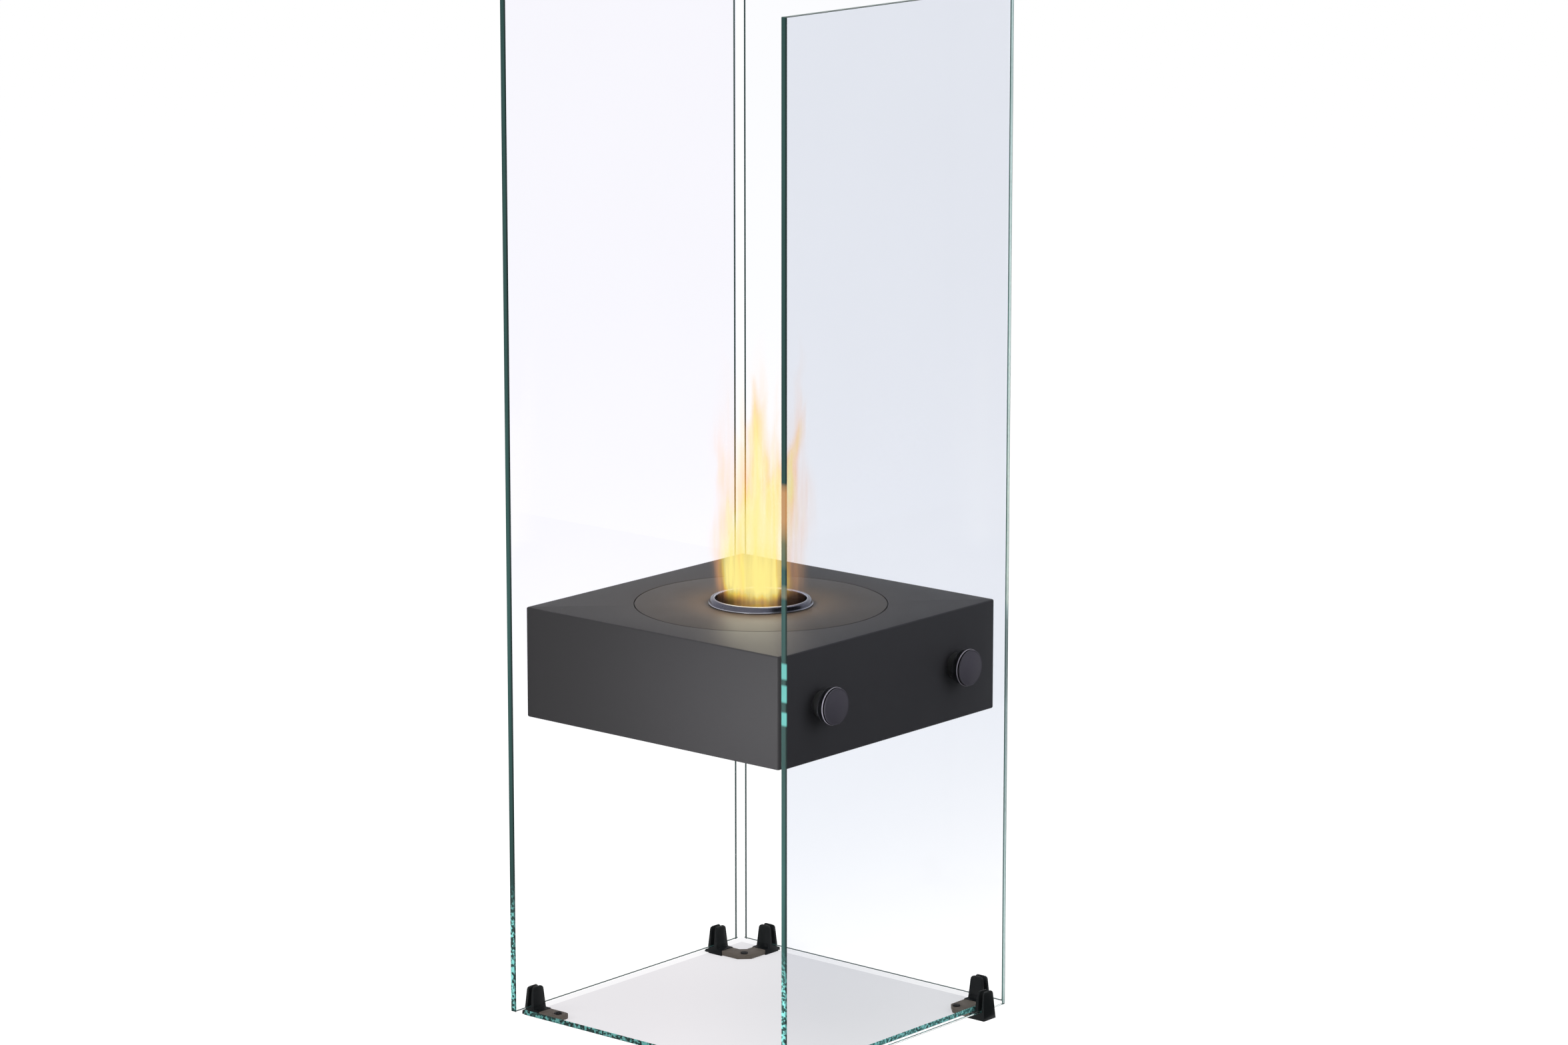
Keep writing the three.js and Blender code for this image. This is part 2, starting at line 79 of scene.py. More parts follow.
# Standoffs, outwards from the box's wall
stud_bore = 4.4
spacer_bore = 4.3
spacer_radius = 15
spacer_end = 10.7
inner_gasket_radius = 20
collar_radius = 5.8
collar_start = 12.9
gasket_radius = 18
gasket_start = 20.8
gasket_end = 22.0
cap_height = 5.2

# Burner
plate_radius = 144
plate_thickness = 2
mouth_radius = 51.5
collar_outer = 53
plate_bore = 53.3
rim_radius = 59
rim_height = 7.0
tank_radius = 125
tank_wall = 1.5
tank_flange = 132

# ---------------------------------------------------------------- places in metres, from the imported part

plate_low, plate_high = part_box("burner_plate")
AXIS = (plate_low + plate_high) / 2
PLATE_TOP = plate_high.z
PLATE_RADIUS = (plate_high.x - plate_low.x) / 2
PANEL_INNER, PANEL_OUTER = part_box("glass_panel_right")[0].x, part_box("glass_panel_right")[1].x


# ---------------------------------------------------------------- mesh helpers

def mesh_piece(bm, name, materials, sharp=SHARP):
    """A finished bmesh as an object at the origin, smooth but for its sharp edges."""
    mesh = bpy.data.meshes.new(name)
    bm.to_mesh(mesh)
    bm.free()
    for polygon in mesh.polygons:
        polygon.use_smooth = True
    mesh.set_sharp_from_angle(angle=sharp)
    for material in materials:
        mesh.materials.append(material)
    piece = bpy.data.objects.new(name, mesh)
    bpy.context.scene.collection.objects.link(piece)
    return piece


def settle(piece, body, slot, *nodes):
    """The piece rides on its body and stands for its CAD nodes, which it hides; slot is not used."""
    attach(piece, body)
    if nodes:
        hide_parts(*nodes)
    return piece


def chain(bm, points, closed):
    """A line of edges through [radius, height] points, in the XZ plane."""
    verts = [bm.verts.new((x * MM, 0, z * MM)) for x, z in points]
    pairs = list(zip(verts, verts[1:]))
    if closed:
        pairs.append((verts[-1], verts[0]))
    for pair in pairs:
        bm.edges.new(pair)
    return verts


def turned(points, steps, closed=False, rounding=None):
    """A profile spun about Z. rounding is {point number: radius in millimetres}."""
    bm = bmesh.new()
    verts = chain(bm, points, closed)
    by_radius = {}
    for number, radius in (rounding or {}).items():
        by_radius.setdefault(radius, []).append(verts[number])
    for radius, corners in by_radius.items():
        bmesh.ops.bevel(bm, geom=corners, offset=radius * MM, offset_type="OFFSET", affect="VERTICES",
                        segments=4, profile=0.5, material=-1, clamp_overlap=True)
    bmesh.ops.spin(bm, geom=bm.verts[:] + bm.edges[:], cent=(0, 0, 0), axis=(0, 0, 1), dvec=(0, 0, 0),
                   angle=math.tau, steps=steps, use_merge=True, use_duplicate=False)
    bmesh.ops.remove_doubles(bm, verts=bm.verts[:], dist=1e-6)
    bmesh.ops.recalc_face_normals(bm, faces=bm.faces[:])
    return bm


def moved(bm, matrix):
    bmesh.ops.transform(bm, matrix=matrix, verts=bm.verts[:])
    return bm


def rounded_block(low, high, upright, rim, upright_steps, rim_steps):
    """A block with its upright edges rounded, then the edges round its top and bottom."""
    bm = bmesh.new()
    bmesh.ops.create_cube(bm, size=1)
    size = high - low
    bmesh.ops.scale(bm, vec=size, verts=bm.verts[:])
    bmesh.ops.translate(bm, vec=(low + high) / 2, verts=bm.verts[:])
    standing = [e for e in bm.edges if abs(e.verts[0].co.z - e.verts[1].co.z) > size.z / 2]
    bmesh.ops.bevel(bm, geom=standing, offset=upright * MM, offset_type="OFFSET", affect="EDGES",
                    segments=upright_steps, profile=0.5, material=-1)
    level = [e for e in bm.edges if abs(e.verts[0].co.z - e.verts[1].co.z) < 1e-6]
    bmesh.ops.bevel(bm, geom=level, offset=rim * MM, offset_type="OFFSET", affect="EDGES",
                    segments=rim_steps, profile=0.5, material=-1)
    return bm


def softened(node, name, radius, materials, flare=0.0):
    """A copy of a CAD node's shape with its edges eased, and spread towards its foot."""
    bm = bmesh.new()
    bm.from_mesh(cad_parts[node].data)
    low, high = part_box(node)
    middle = (low + high) / 2
    for vert in bm.verts if flare else ():
        spread = 1 + flare * (high.z - vert.co.z) / (high.z - low.z)
        vert.co.x = middle.x + (vert.co.x - middle.x) * spread
        vert.co.y = middle.y + (vert.co.y - middle.y) * spread
    bmesh.ops.remove_doubles(bm, verts=bm.verts[:], dist=2e-6)
    bmesh.ops.dissolve_limit(bm, angle_limit=math.radians(1), verts=bm.verts[:], edges=bm.edges[:])
    corners = [e for e in bm.edges if len(e.link_faces) == 2 and e.calc_face_angle(0) > math.radians(30)]
    bmesh.ops.bevel(bm, geom=corners, offset=radius * MM, offset_type="OFFSET", affect="EDGES",
                    segments=2, profile=0.5, material=-1, clamp_overlap=True)
    return mesh_piece(bm, name, materials)


# ---------------------------------------------------------------- shader nodes

def add(tree, kind, **values):
    node = tree.nodes.new(kind)
    for key, value in values.items():
        setattr(node, key, value)
    return node


def feed(tree, socket, value):
    """Link the socket to another one, or give it a value of its own."""
    if isinstance(value, bpy.types.NodeSocket):
        tree.links.new(value, socket)
    else:
        socket.default_value = value


def fed(tree, node, output=0, **values):
    """Feed the node's inputs, named with underscores for spaces, and give one of its outputs."""
    for label, value in values.items():
        feed(tree, node.inputs[label.replace("_", " ")], value)
    return node.outputs[output]


def calc(tree, operation, a, b=None, clamp=False):
    node = add(tree, "ShaderNodeMath", operation=operation, use_clamp=clamp)
    feed(tree, node.inputs[0], a)
    if b is not None:
        feed(tree, node.inputs[1], b)
    return node.outputs[0]


def fade(tree, value, start, end, low=0.0, high=1.0):
    """From low at the start to high at the end, smoothly."""
    node = add(tree, "ShaderNodeMapRange", interpolation_type="SMOOTHSTEP")
    return fed(tree, node, "Result", Value=value, From_Min=start, From_Max=end, To_Min=low, To_Max=high)


def mixed(tree, factor, a, b, blend="MIX"):
    node = add(tree, "ShaderNodeMix", data_type="RGBA", blend_type=blend)
    return fed(tree, node, "Result", Factor=factor, A=a, B=b)


def noise(tree, vector, scale, detail):
    return fed(tree, add(tree, "ShaderNodeTexNoise"), "Fac", Vector=vector, Scale=scale, Detail=detail)


def place_in(tree):
    """The point, in the object's own coordinates."""
    return add(tree, "ShaderNodeTexCoord").outputs["Object"]


def axes_of(tree, vector):
    split = add(tree, "ShaderNodeSeparateXYZ")
    feed(tree, split.inputs["Vector"], vector)
    return [split.outputs[axis] for axis in "XYZ"]


def grey(level):
    return (level, level, level)


def ramp(tree, value, stops):
    node = tree.nodes.new("ShaderNodeValToRGB")
    elements = node.color_ramp.elements
    while len(elements) < len(stops):
        elements.new(0.5)
    for element, (position, colour) in zip(elements, stops):
        element.position = position
        element.color = (*colour, 1)
    feed(tree, node.inputs["Fac"], value)
    return node.outputs["Color"]


# ---------------------------------------------------------------- shader groups

def group(name, inputs, outputs):
    """A node group, with what it is given and the sockets that it puts out."""
    tree = bpy.data.node_groups.new(name, "ShaderNodeTree")
    for label, kind, default in inputs:
        socket = tree.interface.new_socket(label, in_out="INPUT", socket_type=kind)
        socket.default_value = default
    for label, kind in outputs:
        tree.interface.new_socket(label, in_out="OUTPUT", socket_type=kind)
    return tree, tree.nodes.new("NodeGroupInput").outputs, tree.nodes.new("NodeGroupOutput").inputs


def toned_group():
    """Soft patches of tone over a finish, and its fine grain."""
    tree, given, out = group("toned_finish", [
        ("Colour", "NodeSocketColor", (0.5, 0.5, 0.5, 1)),
        ("Tone", "NodeSocketFloat", 0.12),
        ("Patch Scale", "NodeSocketFloat", 9.0),
        ("Grain Scale", "NodeSocketFloat", 900.0),
        ("Roughness", "NodeSocketFloat", 0.5),
        ("Roughness Spread", "NodeSocketFloat", 0.08),
    ], [("Colour", "NodeSocketColor"), ("Roughness", "NodeSocketFloat"), ("Height", "NodeSocketFloat")])
    place = place_in(tree)
    patches = calc(tree, "SUBTRACT", noise(tree, place, given["Patch Scale"], 4), 0.5)
    grain = noise(tree, place, given["Grain Scale"], 3)
    shade = calc(tree, "MULTIPLY", patches, given["Tone"])
    speck = calc(tree, "MULTIPLY", calc(tree, "SUBTRACT", grain, 0.5), given["Tone"])
    value = calc(tree, "ADD", calc(tree, "ADD", shade, speck), 1.0)
    toned = fed(tree, add(tree, "ShaderNodeHueSaturation"), "Color", Value=value, Color=given["Colour"])
    rough = calc(tree, "MULTIPLY", patches, given["Roughness Spread"])
    feed(tree, out["Colour"], toned)
    feed(tree, out["Roughness"], calc(tree, "ADD", rough, given["Roughness"], clamp=True))
    feed(tree, out["Height"], grain)
    return tree


def ring_brush_group():
    """Fine lines that run round the burner's axis, and a mask that fades outwards from its mouth."""
    tree, given, out = group("ring_brush", [
        ("Line Scale", "NodeSocketFloat", 1800.0),
        ("Near", "NodeSocketFloat", 0.06),
        ("Far", "NodeSocketFloat", 0.12),
    ], [("Lines", "NodeSocketFloat"), ("Nearness", "NodeSocketFloat")])
    from_axis = fed(tree, add(tree, "ShaderNodeMapping"), "Vector", Vector=place_in(tree),
                    Location=(-AXIS.x, -AXIS.y, 0))
    x, y, z = axes_of(tree, from_axis)
    square = calc(tree, "ADD", calc(tree, "MULTIPLY", x, x), calc(tree, "MULTIPLY", y, y))
    radius = calc(tree, "SQRT", square)
    across = fed(tree, add(tree, "ShaderNodeCombineXYZ"), "Vector", X=radius, Y=z)
    feed(tree, out["Lines"], noise(tree, across, given["Line Scale"], 2))
    feed(tree, out["Nearness"], fade(tree, radius, given["Near"], given["Far"], 1, 0))
    return tree


def ground_edge_group():
    """The green of a ground glass edge: long smooth runs high up, sparkling chips low down, and painted light
    and shade across its thickness.
    """
    tree, given, out = group("ground_edge", [
        ("Dark", "NodeSocketColor", (0.018, 0.05, 0.046, 1)),
        ("Middle", "NodeSocketColor", (0.034, 0.09, 0.082, 1)),
        ("Light", "NodeSocketColor", (0.3, 0.85, 0.8, 1)),
        ("Sparkle Height", "NodeSocketFloat", 0.5),
    ], [("Colour", "NodeSocketColor"), ("Roughness", "NodeSocketFloat"), ("Height", "NodeSocketFloat")])
    place = place_in(tree)
    x, _, z = axes_of(tree, place)
    drawn_out = fed(tree, add(tree, "ShaderNodeMapping"), "Vector", Vector=place, Scale=(90, 90, 2.2))
    runs = ramp(tree, noise(tree, drawn_out, 1, 3), [(0.36, grey(0)), (0.62, grey(1))])
    green = mixed(tree, runs, given["Dark"], given["Middle"])
    chips = noise(tree, place, 290, 3)
    chipped = ramp(tree, chips, [(0.47, grey(0)), (0.58, grey(1))])
    sparkle = calc(tree, "MULTIPLY", chipped, fade(tree, z, 0.1, given["Sparkle Height"], 1, 0))
    green = mixed(tree, sparkle, green, given["Light"])
    # painted light and shade across the sheet's thickness: lighter near one face, a dark band towards the
    # other
    depth = calc(tree, "SUBTRACT", x, PANEL_INNER)
    depth = calc(tree, "FLOORED_MODULO", depth, PANEL_INNER + PANEL_OUTER)
    depth = calc(tree, "DIVIDE", depth, PANEL_OUTER - PANEL_INNER, clamp=True)
    shade = ramp(tree, depth, [(0.0, grey(1.15)), (0.68, grey(1)), (0.8, grey(0.35)), (0.94, grey(0.3)),
                               (1.0, grey(0.5))])
    feed(tree, out["Colour"], mixed(tree, 1, green, shade, "MULTIPLY"))
    feed(tree, out["Roughness"], calc(tree, "ADD", calc(tree, "MULTIPLY", sparkle, 0.3), 0.3))
    feed(tree, out["Height"], chips)
    return tree


def fade_along_group():
    """A tint that grows along a direction, from one distance to another."""
    tree, given, out = group("fade_along", [
        ("Clear", "NodeSocketColor", (1, 1, 1, 1)),
        ("Tint", "NodeSocketColor", (1, 1, 1, 1)),
        ("Along", "NodeSocketVector", (0, 0, 1)),
        ("Low", "NodeSocketFloat", 0.3),
        ("High", "NodeSocketFloat", 0.6),
    ], [("Colour", "NodeSocketColor")])
    along = add(tree, "ShaderNodeVectorMath", operation="DOT_PRODUCT")
    feed(tree, along.inputs[0], place_in(tree))
    feed(tree, along.inputs[1], given["Along"])
    growth = fade(tree, along.outputs["Value"], given["Low"], given["High"])
    feed(tree, out["Colour"], mixed(tree, growth, given["Clear"], given["Tint"]))
    return tree


def tongue_group():
    """How dense one tongue of flame is, from the distance across it and the height up it, in millimetres."""
    tree, given, out = group("flame_tongue", [
        ("Across", "NodeSocketFloat", 0.0),
        ("Up", "NodeSocketFloat", 0.0),
        ("Middle", "NodeSocketFloat", 0.0),
        ("Lean", "NodeSocketFloat", 0.0),
        ("Width", "NodeSocketFloat", 20.0),
        ("Top", "NodeSocketFloat", 200.0),
        ("Core", "NodeSocketFloat", 0.3),
        ("Weight", "NodeSocketFloat", 1.0),
    ], [("Density", "NodeSocketFloat")])
    rise = calc(tree, "DIVIDE", given["Up"], given["Top"], clamp=True)
    square = calc(tree, "MULTIPLY", rise, rise)
    width = calc(tree, "MULTIPLY", given["Width"], calc(tree, "SUBTRACT", 1.02, square))
    middle = calc(tree, "ADD", given["Middle"], calc(tree, "MULTIPLY", given["Lean"], square))
    away = calc(tree, "ABSOLUTE", calc(tree, "SUBTRACT", given["Across"], middle))
    side = fade(tree, calc(tree, "DIVIDE", away, width), 1, given["Core"])
    dense = calc(tree, "MULTIPLY", side, fade(tree, rise, 1, 0.45))
    feed(tree, out["Density"], calc(tree, "MULTIPLY", dense, given["Weight"]))
    return tree


TONED = toned_group()
RING_BRUSH = ring_brush_group()
GROUND_EDGE = ground_edge_group()
FADE_ALONG = fade_along_group()
TONGUE = tongue_group()


# ---------------------------------------------------------------- materials

def principled(name, **values):
    material = bpy.data.materials.new(name)
    material.use_nodes = True
    shader = material.node_tree.nodes["Principled BSDF"]
    for label, value in values.items():
        shader.inputs[label.replace("_", " ")].default_value = value
    return material, material.node_tree, shader


def place_group(tree, made, **values):
    """A group's outputs, once it is placed and fed."""
    node = add(tree, "ShaderNodeGroup", node_tree=made)
    fed(tree, node, **values)
    return node.outputs


def bumped(tree, shader, height, strength, distance):
    bump = add(tree, "ShaderNodeBump")
    feed(tree, shader.inputs["Normal"],
         fed(tree, bump, "Normal", Strength=strength, Distance=distance, Height=height))


def toned_material(name, colour, roughness, spread, tone, patches, grain, bump, **shader_values):
    material, tree, shader = principled(name, **shader_values)
    finish = place_group(tree, TONED, Colour=(*colour, 1), Tone=tone, Patch_Scale=patches, Grain_Scale=grain,
                         Roughness=roughness, Roughness_Spread=spread)
    feed(tree, shader.inputs["Base Color"], finish["Colour"])
    feed(tree, shader.inputs["Roughness"], finish["Roughness"])
    bumped(tree, shader, finish["Height"], bump, 0.0004)
    return material


def clear_glass(name, tint, low, high, ior, gloss, clear=(1, 1, 1), along=(0, 0, 1)):
    """Clear faces with a faint, uneven cast that grows along a direction, upwards if not said."""
    material, tree, shader = principled(name, Roughness=0.0, IOR=ior, Transmission_Weight=1.0,
                                        Specular_Tint=(gloss, gloss, gloss, 1))
    cast = place_group(tree, FADE_ALONG, Clear=(*clear, 1), Tint=(*tint, 1), Along=along, Low=low, High=high)
    finish = place_group(tree, TONED, Colour=cast["Colour"], Tone=0.016, Patch_Scale=2.2, Grain_Scale=6.0)
    feed(tree, shader.inputs["Base Color"], finish["Colour"])
    return material


def ground_edge(name, sparkle_height, **colours):
    material, tree, shader = principled(name, IOR=1.5, Specular_IOR_Level=0.12)
    edge = place_group(tree, GROUND_EDGE, Sparkle_Height=sparkle_height, **colours)
    feed(tree, shader.inputs["Base Color"], edge["Colour"])
    feed(tree, shader.inputs["Roughness"], edge["Roughness"])
    bumped(tree, shader, edge["Height"], 0.3, 0.0006)
    return material


def painted_firelight_edge(name):
    """The ground edge nearest the fire: lighter runs and painted shade beside the box, and a painted
    firelight glow above it.
    """
    material = ground_edge(name, wall_sparkle)
    tree = material.node_tree
    shader = tree.nodes["Principled BSDF"]
    _, _, z = axes_of(tree, place_in(tree))

    def over_height(low, high, stops):
        height = fed(tree, add(tree, "ShaderNodeMapRange"), "Result", Value=z, From_Min=low, From_Max=high)
        return ramp(tree, height, [((at - low) / (high - low), colour) for at, colour in stops])

    on, off, dimmer = grey(1), grey(0), grey(0.6)
    run_fade = 0.0025
    runs = over_height(0.4, 0.5, [
        stop for low, high in [(0.422, 0.4345), (0.4485, 0.465), (0.4745, 0.4895)]
        for stop in [(low - run_fade, off), (low, on), (high, on), (high + run_fade, off)]])
    # painted shade: the edge is darkened beside the box
    painted_box_shade = over_height(0.25, 0.6, [(0.25, on), (0.37, dimmer), (0.5, dimmer), (0.6, on)])
    box_shaded = mixed(tree, 1, shader.inputs["Base Color"].links[0].from_socket, painted_box_shade, "MULTIPLY")
    feed(tree, shader.inputs["Base Color"], mixed(tree, runs, box_shaded, (0.075, 0.25, 0.23, 1)))
    # painted firelight: the edge emits an orange glow at the flame's height
    painted_firelight = over_height(0.55, 0.7, [
        (0.562, off), (0.566, (0.15, 0.1, 0.05)), (0.576, (0.13, 0.11, 0.06)), (0.58, off), (0.595, off),
        (0.602, (0.07, 0.05, 0.01)), (0.625, (0.14, 0.09, 0.02)), (0.636, (0.34, 0.17, 0.05)),
        (0.65, (0.52, 0.23, 0.07)), (0.682, (0.52, 0.23, 0.07)), (0.689, (0.3, 0.14, 0.04)), (0.693, off)])
    feed(tree, shader.inputs["Emission Color"], painted_firelight)
    shader.inputs["Emission Strength"].default_value = 1.0
    return material


def grey_line(name, colour):
    """The thin line of an edge seen from inside the sheet."""
    return toned_material(name, colour, 0.5, 0.1, 0.3, 12, 300, 0.1, Specular_IOR_Level=0.1)


# IORs are below real glass's where the sheet's own shine would hide what is behind it
wall_ior = 1.35
base_ior = 1.01
wall_sparkle = 0.17  # metres up the walls' edges
wall_clear = clear_glass("wall_glass_clear", (0.94, 0.933, 0.99), 0.2, 0.62, wall_ior, 0.1)
# the right panel: a darker copy of the wall glass, painted shade
wall_clear_right_painted_shade = clear_glass("wall_glass_clear_right_painted_shade", (0.82, 0.845, 0.9), -0.05, 0.36, wall_ior, 0.3)
wall_clear_rear = clear_glass("wall_glass_clear_rear", (0.975, 0.98, 1.0), 0.2, 0.62, wall_ior, 0.1)
wall_edge = ground_edge("wall_glass_edge", wall_sparkle)
# the right wall's front edge, with painted shade beside the box and painted firelight above it
wall_edge_painted_firelight = painted_firelight_edge("wall_glass_edge_painted_firelight")
far_edge = grey_line("wall_glass_far_edge", (0.022, 0.052, 0.05))
rear_edge = grey_line("wall_glass_rear_edge", (0.1, 0.19, 0.18))
rear_edge_middle = grey_line("wall_glass_rear_edge_middle", (0.6, 0.75, 0.73))
base_clear = clear_glass("base_glass_clear", (0.655, 0.66, 0.682), -0.12, 0.12, base_ior, 0.35,
                         clear=(0.745, 0.728, 0.75), along=(0.76, 0.65, 0))
base_rim_clear = clear_glass("base_glass_rim_clear", (1, 1, 1), -0.2, -0.1, base_ior, 0.35)
base_edge = ground_edge("base_glass_edge", 0.6)
# the base's right end: a brighter copy of the edge green, painted light where little light falls on that end
base_edge_right_painted_light = ground_edge("base_glass_edge_right_painted_light", 0.6, Dark=(0.04, 0.11, 0.11, 1),
                              Middle=(0.09, 0.3, 0.28, 1), Light=(0.38, 1, 0.98, 1))

# name, colour, roughness, its spread, tone, patch scale, grain scale, bump
shoe_black = toned_material("shoe_black", (0.008, 0.0095, 0.0102), 0.42, 0.15, 0.25, 60, 1400, 0.25,
                            Specular_IOR_Level=0.12)
bracket_grey = toned_material("bracket_grey", (0.15, 0.13, 0.108), 0.55, 0.2, 0.25, 45, 700, 0.2,
                              Metallic=0.1, Specular_IOR_Level=0.2)
rubber_black = toned_material("rubber_black", (0.008, 0.008, 0.009), 0.75, 0.1, 0.2, 90, 1600, 0.3)
box_charcoal = toned_material("box_charcoal", (0.03, 0.0292, 0.031), 0.48, 0.06, 0.12, 5, 1500, 0.22,
                              Specular_IOR_Level=0.1)
# near black for painted shade: the plate's edge in its seam and the caps' grooves
painted_shade_black = toned_material("painted_shade_black", (0.004, 0.004, 0.004), 0.6, 0.06, 0.12, 20, 1500, 0.1,
                            Specular_IOR_Level=0.1)
spacer_steel = toned_material("spacer_steel", (0.036, 0.036, 0.034), 0.45, 0.1, 0.3, 40, 1200, 0.15,
                              Specular_IOR_Level=0.25)
head_black = toned_material("head_black", (0.041, 0.039, 0.05), 0.55, 0.08, 0.15, 40, 1500, 0.15,
                            Specular_IOR_Level=0.08)
# a lighter copy of the cap's black: the painted highlight round its back edge
head_painted_highlight = toned_material("head_painted_highlight", (0.2, 0.19, 0.23), 0.4, 0.08, 0.15, 40, 1500, 0.15,
                           Specular_IOR_Level=0.4)
nut_steel = toned_material("nut_steel", (0.42, 0.41, 0.4), 0.35, 0.15, 0.15, 60, 900, 0.1, Metallic=1.0)
wick_fibre = toned_material("wick_fibre", (0.5, 0.45, 0.38), 0.95, 0.05, 0.35, 70, 600, 0.9)


def plate_material():
    """Warm grey coat, lighter and warmer round the mouth: heat browning and a painted firelight glow."""
    material, tree, shader = principled("plate_warm_grey", Specular_IOR_Level=0.1)
    finish = place_group(tree, TONED, Colour=(0.034, 0.03, 0.027, 1), Tone=0.16, Patch_Scale=16,
                         Grain_Scale=1500, Roughness=0.44, Roughness_Spread=0.1)
    rings = place_group(tree, RING_BRUSH, Near=0.056, Far=0.115)
    # heat browning and painted firelight glow, fading outwards from the mouth
    heat = calc(tree, "MULTIPLY", rings["Nearness"], 0.7)
    feed(tree, shader.inputs["Base Color"], mixed(tree, heat, finish["Colour"], (0.055, 0.045, 0.036, 1)))
    feed(tree, shader.inputs["Roughness"], finish["Roughness"])
    bumped(tree, shader, finish["Height"], 0.2, 0.0004)
    return material


def brushed_steel(name, colour, tone, patches, grain, roughness, spread, lines, bump, distance):
    """Bare steel with fine lines round the burner's axis and patches darkened by the heat."""
    material, tree, shader = principled(name, Metallic=1.0)
    finish = place_group(tree, TONED, Colour=(*colour, 1), Tone=tone, Patch_Scale=patches, Grain_Scale=grain,
                         Roughness=roughness, Roughness_Spread=spread)
    rings = place_group(tree, RING_BRUSH, Line_Scale=lines)
    feed(tree, shader.inputs["Base Color"], finish["Colour"])
    feed(tree, shader.inputs["Roughness"], finish["Roughness"])
    bumped(tree, shader, rings["Lines"], bump, distance)
    return material


rim_finish = (0.4, 30, 500, 0.26, 0.12, 2600, 0.12, 0.0003)
plate_grey = plate_material()
rim_steel = brushed_steel("rim_polished_steel", (0.1, 0.1, 0.125), *rim_finish)
# lighter steel for the rim's painted highlights at its foot and inner lip
rim_painted_highlight_steel = brushed_steel("rim_painted_highlight_steel", (0.4, 0.4, 0.44), *rim_finish)
tank_steel = brushed_steel("tank_brushed_steel", (0.2, 0.17, 0.14), 0.4, 22, 400, 0.4, 0.2, 1500, 0.3, 0.0004)


# ---------------------------------------------------------------- glass

def glass_sheet(name, node, holes, clear, edge, slot, ends):
    """A sheet with ground edges: its outline is filled round any stud holes and drawn out to its thickness.

    ends are the ends that show a line along them: the way they face, where the line runs in the thickness, in
    millimetres out from its middle, and the materials of the line and of the rest of that end.
    """
    low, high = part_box(node)
    size = high - low
    thin = min(range(3), key=lambda axis: size[axis])
    flat = [axis for axis in range(3) if axis != thin]
    bm = bmesh.new()

    def at(u, v):
        point = [0.0, 0.0, 0.0]
        point[thin] = low[thin]
        point[flat[0]] = u
        point[flat[1]] = v
        return point

    loops = [[at(low[flat[0]], low[flat[1]]), at(high[flat[0]], low[flat[1]]),
              at(high[flat[0]], high[flat[1]]), at(low[flat[0]], high[flat[1]])]]
    turns = [math.tau * i / hole_steps for i in range(hole_steps)]
    for u, v in holes:
        loops.append([at(u + hole_radius * MM * math.cos(turn), v + hole_radius * MM * math.sin(turn))
                      for turn in turns])
    edges = []
    for loop in loops:
        verts = [bm.verts.new(point) for point in loop]
        edges += [bm.edges.new((a, b)) for a, b in zip(verts, verts[1:] + verts[:1])]
    filled = bmesh.ops.triangle_fill(bm, edges=edges, use_beauty=True, use_dissolve=False)
    faces = [g for g in filled["geom"] if isinstance(g, bmesh.types.BMFace)]
    drawn = bmesh.ops.extrude_face_region(bm, geom=faces, use_keep_orig=True)
    top = [g for g in drawn["geom"] if isinstance(g, bmesh.types.BMVert)]
    step = [0.0, 0.0, 0.0]
    step[thin] = size[thin]
    bmesh.ops.translate(bm, vec=step, verts=top)
    bmesh.ops.recalc_face_normals(bm, faces=bm.faces[:])
    corners = [e for e in bm.edges if len(e.link_faces) == 2 and e.calc_face_angle(0) > math.radians(60)]
    bmesh.ops.bevel(bm, geom=corners, offset=glass_arris * MM, offset_type="OFFSET", affect="EDGES",
                    segments=1, profile=0.5, material=-1)
    middle = (low + high) / 2
    outward = 1 if middle[thin] > 0 else -1
    across = Vector((0, 0, 0))
    across[thin] = 1
    for offset in {offset for _, line, _, _ in ends for offset in line}:
        bmesh.ops.bisect_plane(bm, geom=bm.verts[:] + bm.edges[:] + bm.faces[:], dist=1e-6,
                               plane_co=middle + across * outward * offset * MM, plane_no=across)
    for face in bm.faces:
        face.material_index = 0 if abs(face.normal[thin]) > 0.99 else 1
        depth = (face.calc_center_median()[thin] - middle[thin]) * outward / MM
        for number, (way, line, _, _) in enumerate(ends if face.material_index else ()):
            if face.normal.dot(Vector(way)) > 0.3:
                face.material_index = 2 + 2 * number + (0 if line[0] < depth < line[1] else 1)
    materials = [clear, edge] + [material for end in ends for material in end[2:]]
    piece = mesh_piece(bm, name, materials, sharp=math.radians(20))
    piece.visible_shadow = False
    piece.visible_diffuse = False
    return settle(piece, "tower", slot, node)


LEFT, RIGHT, REAR, DOWN = (-1, 0, 0), (1, 0, 0), (0, 1, 0), (0, 0, -1)
stud_holes = {}
for side in ("left", "right"):
    heads = [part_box(f"standoff_head_{side}_{depth}") for depth in ("front", "rear")]
    stud_holes[side] = [((a.y + b.y) / 2, (a.z + b.z) / 2) for a, b in heads]
glass_sheet("clear_panel_left", "glass_panel_left", stud_holes["left"], wall_clear, wall_edge, "wall_glass",
            [(way, far_line, far_edge, wall_clear) for way in (REAR, DOWN)])
glass_sheet("clear_panel_right", "glass_panel_right", stud_holes["right"], wall_clear_right_painted_shade, wall_edge_painted_firelight,
            "wall_glass", [(REAR, rear_line, rear_edge_middle, rear_edge),
                           (DOWN, foot_line, wall_clear_right_painted_shade, wall_edge)])
glass_sheet("clear_panel_rear", "glass_panel_rear", [], wall_clear_rear, wall_edge, "wall_glass",
            [(way, far_line, far_edge, wall_clear_rear) for way in (LEFT, RIGHT, DOWN)])
